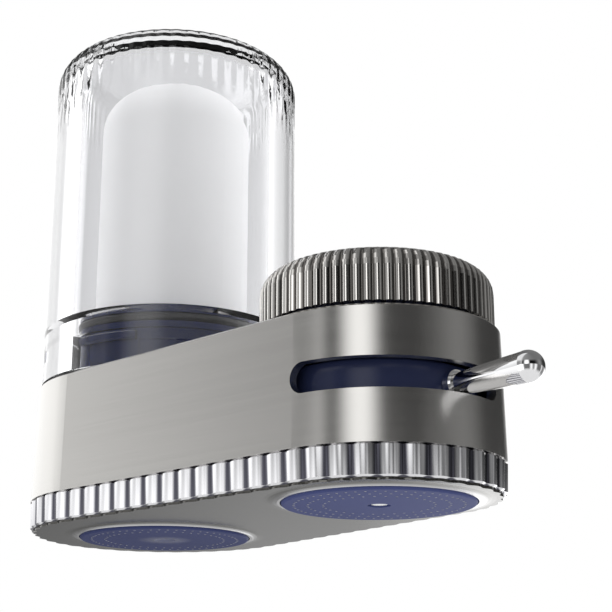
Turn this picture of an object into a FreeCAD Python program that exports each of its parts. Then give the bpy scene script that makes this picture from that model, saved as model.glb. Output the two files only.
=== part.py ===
"""Faucet mount water filter.

A tapered-stadium housing hangs from a kitchen faucet by a fluted swivel nut. A clear domed cover
over a white candle stands on its wide end, a lever in a slot turns the valve at its narrow end,
and two round outlets face down. Heights are written from the bottom of the fluted band, and the
finished pieces are moved down so that the origin is the mouth of the faucet thread.
"""
import FreeCAD, Part
import math
import os

import Sketcher

Vector = FreeCAD.Vector
Constraint = Sketcher.Constraint
UP = Vector(0, 0, 1)

# How much narrower than its ridge a flute's valley is: 1 makes them equal
VALLEY_SHARPNESS = 1.3

# Driving dimensions in millimetres and degrees. Each one is a cell of the sheet.
DIMENSIONS = {
    # Outline of the housing, seen from above
    "axis_spacing": 74.5,
    "big_radius": 33.4,
    "small_radius": 27.5,
    # Fluted band
    "band_height": 6.8,
    "band_wall": 2.8,
    "band_chamfer": 0.4,
    "band_draft": 0.25,
    "band_flutes": 64,
    "band_flute_depth": 0.65,
    # Base plate
    "lip_height": 0.5,
    "lip_inset": 1.15,
    "plate_height": 2.3,
    "fit_clearance": 0.2,
    "rim_height": 0.55,
    "rim_width": 3.6,
    "rim_crest": 0.6,
    # Outlet discs
    "disc_radius": 21.0,
    "disc_proud": 1.06,
    "disc_face": 1.8,
    "disc_wall": 1.3,
    "disc_step": 0.8,
    "disc_rounding": 0.7,
    "chamber_depth": 4.2,
    "gasket_height": 1.4,
    "spray_hole_radius": 0.32,
    "stream_hole_radius": 2.5,
    "stream_wall": 0.6,
    "dimple_radius": 7.5,
    "dimple_depth": 0.5,
    # Housing shell
    "housing_height": 28.6,
    "housing_draft": 1.0,
    "housing_wall": 2.5,
    "housing_roof": 2.4,
    "housing_edge": 0.4,
    "slot_rise": 0.7,
    "slot_height": 6.6,
    "slot_start": -80.0,
    "slot_end": 12.6,
    "boss_radius": 2.6,
    "screw_radius": 1.2,
    "screw_length": 10.0,
    "screw_head_radius": 2.7,
    "screw_head_height": 2.2,
    "middle_screw_x": -40.0,
    "middle_screw_y": 19.0,
    "end_screw_reach": 27.2,
    # Water manifold
    "manifold_roof": 2.0,
    "riser_radius": 18.5,
    "riser_top": 24.0,
    "tower_radius": 16.5,
    "tower_top": 16.9,
    "channel_radius": 2.2,
    "channel_wall": 1.6,
    # Selector valve
    "ceramic_radius": 10.4,
    "ceramic_height": 3.1,
    "ceramic_gap": 0.05,
    "ceramic_port_radius": 2.4,
    "ceramic_port_reach": 6.0,
    "seat_seal_height": 1.0,
    "rotor_radius": 22.4,
    "rotor_rise": 0.7,
    "rotor_height": 8.1,
    "rotor_spigot_radius": 11.0,
    "rotor_spigot_height": 5.6,
    "rotor_skirt_radius": 12.8,
    "rotor_skirt_height": 2.4,
    "rotor_bore": 7.0,
    "rotor_seal_section": 0.9,
    "running_gap": 0.4,
    "lever_angle": -2.5,
    "lever_rise": 3.4,
    "lever_reach": 42.8,
    "lever_root_radius": 2.3,
    "lever_tip_radius": 3.35,
    "lever_shank_radius": 2.2,
    "lever_shank_start": 13.5,
    "lever_collar_radius": 3.1,
    "lever_collar_length": 1.6,
    # Inlet neck, adapter and swivel nut
    "neck_radius": 20.9,
    "neck_rise": 7.1,
    "neck_bore": 13.6,
    "neck_bore_floor": 38.4,
    "neck_flange_radius": 24.0,
    "neck_flange_height": 3.0,
    "neck_socket_wall": 4.0,
    "neck_socket_bottom": 26.1,
    "inlet_bore": 9.0,
    "neck_washer_height": 1.4,
    "washer_gap": 0.05,
    "adapter_flange_radius": 20.2,
    "adapter_flange_height": 1.8,
    "adapter_cup_radius": 13.1,
    "adapter_cup_depth": 5.5,
    "adapter_floor": 1.5,
    "adapter_recess": 2.0,
    "adapter_collar_radius": 15.1,
    "thread_radius": 10.9,
    "thread_length": 8.5,
    "strainer_radius": 7.2,
    "strainer_height": 0.8,
    "nut_radius": 25.9,
    "nut_gap": 1.0,
    "nut_height": 12.8,
    "nut_shoulder": 5.0,
    "nut_flutes": 72,
    "nut_flute_depth": 0.55,
    "nut_lip_height": 3.3,
    # Cartridge collar
    "collar_radius": 23.4,
    "collar_rise": 16.2,
    "collar_flange_radius": 24.4,
    "collar_flange_height": 2.0,
    "collar_stem_radius": 17.0,
    "collar_wall": 3.3,
    "collar_recess_depth": 7.1,
    "collar_rounding": 0.5,
    "seat_ledge": 1.5,
    "spigot_bore": 6.5,
    "feed_hole_count": 3,
    "feed_hole_radius": 1.8,
    "feed_hole_reach": 13.0,
    "seal_section": 1.1,
    "seal_drop": 2.5,
    "seal_squeeze": 0.35,
    "lug_drop": 7.1,
    "lug_section": 1.1,
    "lug_chamfer": 0.4,
    "lug_root_depth": 1.5,
    "lug_reach": 0.2,
    "lug_start": -92.0,
    "lug_span": 36.0,
    "lug_count": 3,
    "lug_play": 2.5,
    # Candle
    "candle_gap": 0.4,
    "candle_length": 67.9,
    "candle_dome": 12.5,
    "candle_wall": 6.0,
    "cap_inset": 0.3,
    "cap_height": 4.7,
    "cap_spigot_radius": 5.7,
    "cap_spigot_length": 12.0,
    "cap_bore": 3.5,
    "cap_seal_section": 0.9,
    # Clear cover
    "cover_room": 5.8,
    "cover_wall": 6.7,
    "cover_draft": 0.2,
    "cover_headroom": 3.8,
    "cover_roof": 5.0,
    "cover_shoulder": 7.5,
    "crown_flutes": 56,
    "crown_flute_depth": 0.28,
    "crown_height": 20.0,
    "crown_fade": 9.0,
    "cover_cavity_rounding": 3.0,
    "cover_socket_gap": 0.65,
    "cover_socket_drop": 1.1,
    "cover_step": 1.2,
    "cover_gasket_height": 0.5,
    "cover_gasket_land": 1.55,
    "cover_twist": 45.0,
    "cover_seat_gap": 0.1,
}


class Size:
    """A length with its number and the sheet expression that it comes from."""

    def __init__(self, value, text):
        self.value = float(value)
        self.text = text

    def __float__(self):
        return self.value

    def __add__(self, other):
        other = as_size(other)
        return Size(self.value + other.value, f"({self.text} + {other.text})")

    def __radd__(self, other):
        return as_size(other) + self

    def __sub__(self, other):
        other = as_size(other)
        return Size(self.value - other.value, f"({self.text} - {other.text})")

    def __rsub__(self, other):
        return as_size(other) - self

    def __mul__(self, other):
        other = as_size(other)
        return Size(self.value * other.value, f"({self.text} * {other.text})")

    def __rmul__(self, other):
        return as_size(other) * self

    def __truediv__(self, other):
        other = as_size(other)
        return Size(self.value / other.value, f"({self.text} / {other.text})")

    def __neg__(self):
        return 0 - self


def as_size(value):
    return value if isinstance(value, Size) else Size(value, f"{float(value):.6f}")


class Sizes:
    """Named sizes, each read from its cell."""


def make_sheet(doc):
    sheet = doc.addObject("Spreadsheet::Sheet", "Sizes")
    for row, (name, value) in enumerate(DIMENSIONS.items(), start=1):
        sheet.set(f"A{row}", name)
        sheet.set(f"B{row}", str(value))
        sheet.setAlias(f"B{row}", name)
    doc.recompute()
    sizes = Sizes()
    for name in DIMENSIONS:
        setattr(sizes, name, Size(sheet.get(name), f"Sizes.{name}"))
    return sizes


doc = FreeCAD.newDocument("faucet_filter")
s = make_sheet(doc)

# Heights and radii that several pieces share
plate_top = s.lip_height + s.plate_height
band_top = s.lip_height + s.band_height
housing_top = band_top + s.housing_height
roof_bottom = housing_top - s.housing_roof
chamber_top = plate_top + s.chamber_depth
manifold_top = chamber_top + s.manifold_roof
disc_bottom = -s.disc_proud
disc_face_top = disc_bottom + s.disc_face
disc_spigot_radius = s.disc_radius - s.disc_step
disc_inner_radius = disc_spigot_radius - s.disc_wall
disc_top = chamber_top - s.gasket_height
seat_bottom = s.tower_top - s.rotor_skirt_height - s.ceramic_height - s.seat_seal_height
fixed_disc_bottom = seat_bottom + s.seat_seal_height
fixed_disc_top = fixed_disc_bottom + s.ceramic_height
moving_disc_bottom = fixed_disc_top + s.ceramic_gap
rotor_bottom = s.tower_top + s.rotor_rise
rotor_top = rotor_bottom + s.rotor_height
rotor_spigot_top = rotor_top + s.rotor_spigot_height
rotor_seal_height = rotor_top + s.rotor_spigot_height / 2
neck_socket_radius = s.rotor_spigot_radius + s.running_gap
slot_bottom = rotor_bottom + s.slot_rise
lever_height = rotor_bottom + s.lever_rise
neck_top = housing_top + s.neck_rise
neck_washer_bottom = neck_top + s.washer_gap
adapter_seat = neck_washer_bottom + s.neck_washer_height
adapter_bottom = adapter_seat - s.adapter_cup_depth
washer_seat = adapter_bottom + s.adapter_floor
thread_bottom = washer_seat + s.adapter_recess
mouth_height = thread_bottom + s.thread_length
nut_bottom = housing_top + s.nut_gap
nut_top = nut_bottom + s.nut_height
nut_lip_bottom = nut_top - s.nut_lip_height
collar_top = housing_top + s.collar_rise
collar_floor = collar_top - s.collar_recess_depth
seal_height = collar_top - s.seal_drop
lug_height = collar_top - s.lug_drop
seal_radius = s.collar_radius + s.seal_squeeze - s.seal_section
collar_recess_radius = s.collar_radius - s.collar_wall
candle_radius = collar_recess_radius - s.candle_gap
cap_radius = candle_radius - s.cap_inset
cap_bottom = collar_floor + s.running_gap
candle_bottom = cap_bottom + s.cap_height
candle_top = candle_bottom + s.candle_length
cap_spigot_bottom = cap_bottom - s.cap_spigot_length
cap_seal_height = cap_spigot_bottom + 3 * s.cap_seal_section
cover_bottom = housing_top + s.cover_gasket_height + s.cover_seat_gap
cover_cavity_radius = candle_radius + s.cover_room
cover_radius = cover_cavity_radius + s.cover_wall
cover_cavity_top = candle_top + s.cover_headroom
cover_top = cover_cavity_top + s.cover_roof
cover_socket_top = collar_top - s.cover_socket_drop
socket_radius = s.collar_radius + s.cover_socket_gap
cover_gasket_inner = socket_radius + s.cover_gasket_land
lug_path_radius = s.collar_radius + s.lug_reach
channel_height = chamber_top + s.channel_radius + s.ceramic_gap * 8

# Screw places in plan: two either side of the middle, two round the wide end
end_screw_shift = s.end_screw_reach * math.sqrt(0.5)
SCREW_PLACES = [
    (s.middle_screw_x, s.middle_screw_y),
    (s.middle_screw_x, -s.middle_screw_y),
    (-s.axis_spacing - end_screw_shift, end_screw_shift),
    (-s.axis_spacing - end_screw_shift, -end_screw_shift),
]


# Heights at which pieces were placed before they are finished
height_of = {}


def bind(item, name, size):
    """Tie one property to the sheet."""
    item.setExpression(name, as_size(size).text)


def bind_place(item, x=0, y=0, z=0):
    for letter, size in (("x", x), ("y", y), ("z", z)):
        if isinstance(size, Size):
            bind(item, f"Placement.Base.{letter}", size)
    height_of[item.Name] = as_size(z)


def finish(item, label):
    """Name a finished piece and move it so that the faucet thread's mouth is at height 0."""
    item.Label = label
    bind(item, "Placement.Base.z", height_of.get(item.Name, as_size(0)) - mouth_height)
    return item


def cylinder(radius, bottom, top, x=0, y=0):
    rod = doc.addObject("Part::Cylinder", "rod")
    bind(rod, "Radius", radius)
    bind(rod, "Height", top - bottom)
    bind_place(rod, x, y, as_size(bottom))
    return rod


def block(x_low, x_high, half_width, bottom, top):
    item = doc.addObject("Part::Box", "block")
    bind(item, "Length", as_size(x_high) - x_low)
    bind(item, "Width", 2 * as_size(half_width))
    bind(item, "Height", top - bottom)
    bind_place(item, as_size(x_low), -as_size(half_width), as_size(bottom))
    return item


def ring(path_radius, section_radius, height, x=0):
    """An O-ring, as a torus about a vertical axis."""
    item = doc.addObject("Part::Torus", "ring")
    bind(item, "Radius1", path_radius)
    bind(item, "Radius2", section_radius)
    bind_place(item, x, 0, as_size(height))
    return item


def fuse(items, refine=True):
    joined = doc.addObject("Part::MultiFuse", "joined")
    joined.Shapes = items
    joined.Refine = refine
    return joined


def cut(base, tools):
    """Take one tool or a list of tools away from a base."""
    tools = tools if isinstance(tools, list) else [tools]
    opened = doc.addObject("Part::Cut", "opened")
    opened.Base = base
    opened.Tool = tools[0] if len(tools) == 1 else fuse(tools, refine=False)
    return opened


def sketch_on(body, name, role):
    plane = [item for item in body.Origin.OriginFeatures if item.Role == role][0]
    sketch = body.newObject("Sketcher::SketchObject", name)
    sketch.AttachmentSupport = [(plane, "")]
    sketch.MapMode = "FlatFace"
    return sketch


def lathe(name, profile, x=0, span=360):
    """Turn a closed profile of (radius, height) corners about a vertical axis."""
    body = doc.addObject("PartDesign::Body", name)
    sketch = sketch_on(body, name + "_profile", "XZ_Plane")
    corners = [(as_size(radius), as_size(height)) for radius, height in profile]
    points = [Vector(float(radius), float(height), 0) for radius, height in corners]
    count = len(points)
    for index in range(count):
        sketch.addGeometry(Part.LineSegment(points[index], points[(index + 1) % count]), False)
    for index in range(count):
        sketch.addConstraint(Constraint("Coincident", index, 2, (index + 1) % count, 1))
    for index, (radius, height) in enumerate(corners):
        for kind, size in (("DistanceX", radius), ("DistanceY", height)):
            place = sketch.addConstraint(Constraint(kind, index, 1, float(size)))
            sketch.setExpression(f"Constraints[{place}]", size.text)
    turned = body.newObject("PartDesign::Revolution", name + "_turned")
    turned.Profile = sketch
    turned.ReferenceAxis = (sketch, ["V_Axis"])
    bind(turned, "Angle", span)
    bind_place(body, x)
    doc.recompute()
    return body


def round_circles(body, radius, wanted):
    """Round the circular edges of a turned body that pass a test of their (radius, height)."""
    base = body.Tip
    names = []
    for index, edge in enumerate(base.Shape.Edges, start=1):
        if isinstance(edge.Curve, Part.Circle) and wanted(edge.Curve.Radius, edge.Curve.Center.z):
            names.append(f"Edge{index}")
    rounding = body.newObject("PartDesign::Fillet", body.Name + "_rounding")
    rounding.Base = (base, names)
    bind(rounding, "Radius", radius)
    doc.recompute()
    return body


def near(first, second):
    return abs(float(first) - float(second)) < 1e-4


def stadium_pad(name, offset, bottom, top, draft=None):
    """Extrude the housing's outline, moved outwards by an offset."""
    body = doc.addObject("PartDesign::Body", name)
    sketch = sketch_on(body, name + "_outline", "XY_Plane")
    spacing = float(s.axis_spacing)
    big = s.big_radius + offset
    small = s.small_radius + offset
    phi = math.acos((float(big) - float(small)) / spacing)

    def on_circle(centre, radius, angle):
        return Vector(centre + radius * math.cos(angle), radius * math.sin(angle), 0)

    big_up = on_circle(-spacing, float(big), phi)
    big_down = on_circle(-spacing, float(big), -phi)
    small_up = on_circle(0, float(small), phi)
    small_down = on_circle(0, float(small), -phi)
    small_circle = Part.Circle(Vector(0, 0, 0), UP, float(small))
    big_circle = Part.Circle(Vector(-spacing, 0, 0), UP, float(big))
    sketch.addGeometry(Part.ArcOfCircle(small_circle, -phi, phi), False)
    sketch.addGeometry(Part.LineSegment(small_up, big_up), False)
    sketch.addGeometry(Part.ArcOfCircle(big_circle, phi, 2 * math.pi - phi), False)
    sketch.addGeometry(Part.LineSegment(big_down, small_down), False)
    for index in range(4):
        sketch.addConstraint(Constraint("Tangent", index, 2, (index + 1) % 4, 1))
    sketch.addConstraint(Constraint("Coincident", 0, 3, -1, 1))
    sketch.addConstraint(Constraint("PointOnObject", 2, 3, -1))
    place = sketch.addConstraint(Constraint("DistanceX", 2, 3, -1, 1, spacing))
    sketch.setExpression(f"Constraints[{place}]", s.axis_spacing.text)
    place = sketch.addConstraint(Constraint("Radius", 2, float(big)))
    sketch.setExpression(f"Constraints[{place}]", big.text)
    place = sketch.addConstraint(Constraint("Radius", 0, float(small)))
    sketch.setExpression(f"Constraints[{place}]", small.text)
    pad = body.newObject("PartDesign::Pad", name + "_pad")
    pad.Profile = sketch
    bind(pad, "Length", top - bottom)
    if draft is not None:
        bind(pad, "TaperAngle", -draft)
    bind(body, "Placement.Base.z", bottom)
    doc.recompute()
    return body


def stadium_point(share, offset):
    """A point of the housing's outline at a share of its length, moved outwards by an offset."""
    spacing, big, small = float(s.axis_spacing), float(s.big_radius), float(s.small_radius)
    phi = math.acos((big - small) / spacing)
    side = math.sqrt(spacing**2 - (big - small) ** 2)
    lengths = [2 * phi * small, side, 2 * (math.pi - phi) * big, side]
    way = (share % 1.0) * sum(lengths)
    stretch = 0
    while way > lengths[stretch] and stretch < 3:
        way -= lengths[stretch]
        stretch += 1
    if stretch == 0:
        angle = -phi + way / small
        centre, radius = 0.0, small
    elif stretch == 2:
        angle = phi + way / big
        centre, radius = -spacing, big
    else:
        angle = phi if stretch == 1 else -phi
        part = way / side if stretch == 1 else 1 - way / side
        centre, radius = -spacing * part, small + (big - small) * part
    reach = radius + offset
    return centre + reach * math.cos(angle), reach * math.sin(angle)


def circle_point(radius, x=0):
    """The same for a circle about an upright axis."""

    def point(share, offset):
        angle = 2 * math.pi * share
        return x + (radius + offset) * math.cos(angle), (radius + offset) * math.sin(angle)

    return point


def wave_wire(point, count, depth, offset, height, steps=8):
    """A closed smooth outline of broad ridges with narrower valleys between them."""
    places = []
    for index in range(count * steps):
        swing = 0.5 - 0.5 * math.cos(2 * math.pi * index / steps)
        x, y = point(index / (count * steps), offset - depth * swing**VALLEY_SHARPNESS)
        places.append(Vector(x, y, height))
    curve = Part.BSplineCurve()
    curve.interpolate(Points=places, PeriodicFlag=True)
    return Part.Wire([curve.toShape()])


def wave_solid(name, point, count, sections):
    """Join wave outlines, each given as (depth, offset, height), into one solid."""
    wires = [wave_wire(point, count, depth, offset, height) for depth, offset, height in sections]
    item = doc.addObject("Part::Feature", name)
    item.Shape = Part.makeLoft(wires, True, True)
    return item


def make_fluted_band():
    depth, count = float(s.band_flute_depth), int(float(s.band_flutes))
    bottom, top, chamfer = float(s.lip_height), float(band_top), float(s.band_chamfer)
    draft = float(s.band_draft)
    outside = wave_solid("band_outside", stadium_point, count, [
        (depth, -draft - chamfer, bottom),
        (depth, -draft, bottom + chamfer),
        (depth, 0, top - chamfer),
        (depth, -chamfer, top),
    ])
    inside = stadium_pad("band_inside", -s.band_wall, s.lip_height - 1, band_top + 1)
    return finish(cut(outside, inside), "fluted_band")


def dished_rim(opening, x):
    """A raised edge round an opening, which runs out into the plate in a soft hollow."""
    slope = s.rim_width - s.rim_crest
    corners = [(opening, as_size(0)), (opening + s.rim_width, as_size(0))]
    for share in (0.7, 0.4, 0.15, 0):
        corners.append((opening + s.rim_crest + slope * share, -s.rim_height * (1 - share) ** 2))
    corners.append((opening, -s.rim_height))
    return lathe("rim", corners, x)


def make_base_plate():
    depth, count = float(s.band_flute_depth), int(float(s.band_flutes))
    inset = -float(s.lip_inset)
    lip = wave_solid("plate_lip", stadium_point, count, [
        (depth, inset, 0),
        (depth, inset, float(s.lip_height)),
    ])
    plug = stadium_pad("plate_plug", -s.band_wall - s.fit_clearance, s.lip_height, plate_top)
    opening = s.disc_radius + s.fit_clearance
    rims = []
    openings = []
    for x in (0, -s.axis_spacing):
        rims.append(dished_rim(opening, x))
        openings.append(cylinder(opening, -s.rim_height - 1, plate_top + 1, x))
    return finish(cut(fuse([lip, plug] + rims), openings), "base_plate")


def make_outlet_disc(label, x, rings, centre_tool):
    """A face with a fine ring pattern of holes, under the wall of its chamber."""
    disc = lathe(label + "_face", [
        (0, disc_bottom),
        (s.disc_radius, disc_bottom),
        (s.disc_radius, disc_face_top),
        (0, disc_face_top),
    ], x)
    round_circles(disc, s.disc_rounding, lambda r, z: near(r, s.disc_radius) and near(z, disc_bottom))
    cup_label = label.replace("disc", "cup")
    finish(lathe(cup_label, [
        (disc_inner_radius, disc_face_top),
        (s.disc_radius, disc_face_top),
        (s.disc_radius, plate_top),
        (disc_spigot_radius, plate_top),
        (disc_spigot_radius, disc_top),
        (disc_inner_radius, disc_top),
    ], x), cup_label)
    holes = []
    for reach_share, count in rings:
        reach = float(s.disc_radius) * reach_share
        for index in range(count):
            angle = 2 * math.pi * (index + 0.5) / count
            foot = Vector(float(x) + reach * math.cos(angle), reach * math.sin(angle), float(disc_bottom) - 1)
            holes.append(Part.makeCylinder(float(s.spray_hole_radius), float(s.disc_face) + 2, foot, UP))
    pattern = doc.addObject("Part::Feature", label + "_holes")
    pattern.Shape = Part.makeCompound(holes)
    drilled = doc.addObject("Part::Cut", "drilled")
    drilled.Base = disc
    drilled.Tool = pattern
    return finish(cut(drilled, centre_tool), label)


def make_outlets():
    stream_hole = cylinder(s.stream_hole_radius, disc_bottom - 1, disc_face_top + 1)
    make_outlet_disc("spray_outlet_disc", as_size(0), [(0.87, 56), (0.725, 44), (0.57, 32)], stream_hole)
    dimple = doc.addObject("Part::Sphere", "dimple")
    bind(dimple, "Radius", s.dimple_radius)
    bind_place(dimple, -s.axis_spacing, 0, disc_bottom - s.dimple_radius + s.dimple_depth)
    make_outlet_disc("filtered_outlet_disc", -s.axis_spacing, [(0.86, 56), (0.70, 44)], dimple)
    for label, x in (("spray_outlet_gasket", as_size(0)), ("filtered_outlet_gasket", -s.axis_spacing)):
        finish(lathe(label, [
            (disc_inner_radius, disc_top),
            (disc_spigot_radius, disc_top),
            (disc_spigot_radius, chamber_top),
            (disc_inner_radius, chamber_top),
        ], x), label)
    tube_radius = s.stream_hole_radius - s.fit_clearance / 4
    finish(lathe("stream_nozzle", [
        (tube_radius - s.stream_wall, disc_bottom + s.stream_wall / 2),
        (tube_radius, disc_bottom + s.stream_wall / 2),
        (tube_radius, disc_face_top),
        (tube_radius + s.stream_wall, disc_face_top),
        (tube_radius + s.stream_wall, disc_face_top + s.stream_wall),
        (tube_radius - s.stream_wall, disc_face_top + s.stream_wall),
    ]), "stream_nozzle")


def slot_cutter():
    """A slot with round ends through the wall about the faucet's axis."""
    inner = s.small_radius - s.housing_wall - 2
    outer = s.small_radius + 2
    middle = slot_bottom + s.slot_height / 2
    sector = cylinder(outer, slot_bottom, slot_bottom + s.slot_height)
    bind(sector, "Angle", s.slot_end - s.slot_start)
    sector.Placement.Rotation = FreeCAD.Rotation(UP, float(s.slot_start))
    hollow = cylinder(inner, slot_bottom - 1, slot_bottom + s.slot_height + 1)
    arc = cut(sector, hollow)
    ends = []
    for angle in (float(s.slot_start), float(s.slot_end)):
        end = doc.addObject("Part::Cylinder", "slot_end")
        bind(end, "Radius", s.slot_height / 2)
        bind(end, "Height", outer - inner)
        sideways = FreeCAD.Rotation(UP, angle).multiply(FreeCAD.Rotation(Vector(0, 1, 0), 90))
        foot = sideways.multVec(Vector(0, 0, float(inner)))
        end.Placement = FreeCAD.Placement(Vector(foot.x, foot.y, float(middle)), sideways)
        ends.append(end)
    return [arc] + ends


def make_housing():
    outside = stadium_pad("housing_outside", as_size(0), band_top, housing_top, s.housing_draft)
    block_out = outside.Tip
    top_edges = []
    for index, edge in enumerate(block_out.Shape.Edges, start=1):
        if all(near(vertex.Point.z, s.housing_height) for vertex in edge.Vertexes):
            top_edges.append(f"Edge{index}")
    edge_break = outside.newObject("PartDesign::Chamfer", "housing_edge_break")
    edge_break.Base = (block_out, top_edges)
    bind(edge_break, "Size", s.housing_edge)
    doc.recompute()
    cavity = stadium_pad("housing_cavity", -s.housing_wall, band_top - 1, roof_bottom)
    hollow = cut(outside, cavity)
    bosses = [cylinder(s.boss_radius, manifold_top, roof_bottom + 1, x, y) for x, y in SCREW_PLACES]
    pilots = [
        cylinder(s.screw_radius, manifold_top - 1, manifold_top + s.screw_length, x, y)
        for x, y in SCREW_PLACES
    ]
    collar_hole = cylinder(s.collar_radius + s.fit_clearance, roof_bottom - 1, housing_top + 1,
                           -s.axis_spacing)
    neck_hole = cylinder(s.neck_radius + s.fit_clearance, roof_bottom - 1, housing_top + 1)
    tools = pilots + [collar_hole, neck_hole] + slot_cutter()
    return finish(cut(fuse([hollow] + bosses), tools), "housing_shell")


def make_manifold():
    plate = stadium_pad("manifold_plate", -s.band_wall - s.fit_clearance, plate_top, manifold_top)
    riser = cylinder(s.riser_radius, plate_top, s.riser_top, -s.axis_spacing)
    tower = cylinder(s.tower_radius, plate_top, s.tower_top)
    duct_half = s.channel_radius + s.channel_wall
    duct = block(-s.axis_spacing + s.feed_hole_reach, -s.ceramic_port_reach, duct_half,
                 plate_top, channel_height + duct_half)
    solid = fuse([plate, riser, tower, duct])
    chamber_radius = disc_spigot_radius + s.fit_clearance
    channel = block(-s.axis_spacing + s.feed_hole_reach - s.channel_radius,
                    -s.ceramic_port_reach + s.channel_radius, s.channel_radius,
                    channel_height - s.channel_radius, channel_height + s.channel_radius)
    gallery = cut(
        cylinder(s.feed_hole_reach + s.channel_radius, s.riser_top - 3, s.riser_top + 1, -s.axis_spacing),
        cylinder(s.feed_hole_reach - s.channel_radius, s.riser_top - 4, s.riser_top + 2, -s.axis_spacing),
    )
    tools = [
        cylinder(chamber_radius, plate_top - 1, chamber_top),
        cylinder(chamber_radius, plate_top - 1, chamber_top, -s.axis_spacing),
        cylinder(s.rotor_skirt_radius + s.running_gap, fixed_disc_top, s.tower_top + 1),
        cylinder(s.ceramic_radius + s.fit_clearance / 2, seat_bottom, fixed_disc_top + 1),
        cylinder(s.ceramic_port_radius, chamber_top - 1, seat_bottom + 1, s.ceramic_port_reach),
        cylinder(s.feed_hole_radius, channel_height, seat_bottom + 1, -s.ceramic_port_reach),
        cylinder(s.feed_hole_radius, channel_height, s.riser_top - 2, -s.axis_spacing + s.feed_hole_reach),
        cylinder(s.spigot_bore, chamber_top - 1, s.riser_top + 1, -s.axis_spacing),
        channel,
        gallery,
    ]
    for x, y in SCREW_PLACES:
        tools.append(cylinder(s.screw_radius + s.fit_clearance, plate_top - 1, manifold_top + 1, x, y))
        tools.append(cylinder(s.screw_head_radius + s.fit_clearance, plate_top - 1,
                              manifold_top - s.manifold_roof, x, y))
    return finish(cut(solid, tools), "water_manifold")


def make_manifold_screws():
    seat = manifold_top - s.manifold_roof
    screws = []
    for x, y in SCREW_PLACES:
        head = cylinder(s.screw_head_radius, seat - s.screw_head_height, seat, x, y)
        shank = cylinder(s.screw_radius, seat - 1, manifold_top + s.screw_length - 1, x, y)
        driver = cylinder(s.screw_radius, seat - s.screw_head_height - 1,
                          seat - s.screw_head_height / 2, x, y)
        screws.append(cut(fuse([head, shank]), driver))
    group = doc.addObject("Part::Compound", "screws")
    group.Links = screws
    return finish(group, "manifold_screws")


def ceramic_disc(label, bottom, port_places):
    blank = cylinder(s.ceramic_radius, bottom, bottom + s.ceramic_height)
    ports = [
        cylinder(s.ceramic_port_radius, bottom - 1, bottom + s.ceramic_height + 1, x) for x in port_places
    ]
    return finish(cut(blank, ports), label)


def make_valve():
    both_ports = (s.ceramic_port_reach, -s.ceramic_port_reach)
    ceramic_disc("fixed_ceramic_disc", fixed_disc_bottom, both_ports)
    ceramic_disc("moving_ceramic_disc", moving_disc_bottom, (s.ceramic_port_reach,))
    seal = cylinder(s.ceramic_radius, seat_bottom, fixed_disc_bottom)
    seal_ports = [
        cylinder(s.ceramic_port_radius, seat_bottom - 1, fixed_disc_bottom + 1, x) for x in both_ports
    ]
    finish(cut(seal, seal_ports), "ceramic_seat_seal")
    seal_path = s.rotor_spigot_radius + s.fit_clearance / 2 - s.rotor_seal_section
    groove_radius = seal_path - s.rotor_seal_section
    moving_disc_top = moving_disc_bottom + s.ceramic_height
    rotor = lathe("rotor_turned", [
        (s.rotor_bore, moving_disc_top),
        (s.ceramic_radius + s.fit_clearance / 2, moving_disc_top),
        (s.ceramic_radius + s.fit_clearance / 2, rotor_bottom - s.rotor_skirt_height),
        (s.rotor_skirt_radius, rotor_bottom - s.rotor_skirt_height),
        (s.rotor_skirt_radius, rotor_bottom),
        (s.rotor_radius, rotor_bottom),
        (s.rotor_radius, rotor_top),
        (s.rotor_spigot_radius, rotor_top),
        (s.rotor_spigot_radius, rotor_seal_height - s.rotor_seal_section),
        (groove_radius, rotor_seal_height - s.rotor_seal_section),
        (groove_radius, rotor_seal_height + s.rotor_seal_section),
        (s.rotor_spigot_radius, rotor_seal_height + s.rotor_seal_section),
        (s.rotor_spigot_radius, rotor_spigot_top),
        (s.rotor_bore, rotor_spigot_top),
    ])
    rim = s.disc_rounding
    round_circles(rotor, rim, lambda r, z: near(r, s.rotor_radius))
    shank_hole = lever_rod(s.lever_shank_radius, s.lever_shank_radius, s.lever_shank_start,
                           s.rotor_radius + 1)
    finish(cut(rotor, shank_hole), "valve_rotor")
    finish(ring(seal_path, s.rotor_seal_section, rotor_seal_height), "rotor_o_ring")


def lever_place(item, start):
    turn = FreeCAD.Rotation(UP, float(s.lever_angle))
    lay = turn.multiply(FreeCAD.Rotation(Vector(0, 1, 0), 90))
    foot = turn.multVec(Vector(float(start), 0, 0))
    item.Placement = FreeCAD.Placement(Vector(foot.x, foot.y, float(lever_height)), lay)
    return item


def lever_rod(radius_in, radius_out, start, end):
    """A round or tapered rod that points outwards along the lever."""
    if radius_in is radius_out:
        item = doc.addObject("Part::Cylinder", "lever_part")
        bind(item, "Radius", radius_in)
    else:
        item = doc.addObject("Part::Cone", "lever_part")
        bind(item, "Radius1", radius_in)
        bind(item, "Radius2", radius_out)
    bind(item, "Height", end - start)
    return lever_place(item, start)


def make_lever():
    shank = lever_rod(s.lever_shank_radius, s.lever_shank_radius, s.lever_shank_start, s.rotor_radius + 1)
    collar = lever_rod(s.lever_collar_radius, s.lever_collar_radius, s.rotor_radius,
                       s.rotor_radius + s.lever_collar_length)
    arm = lever_rod(s.lever_root_radius, s.lever_tip_radius, s.rotor_radius + 1, s.lever_reach)
    ball = doc.addObject("Part::Sphere", "lever_ball")
    bind(ball, "Radius", s.lever_tip_radius)
    lever_place(ball, s.lever_reach)
    return finish(fuse([shank, collar, arm, ball]), "selector_lever")


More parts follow.
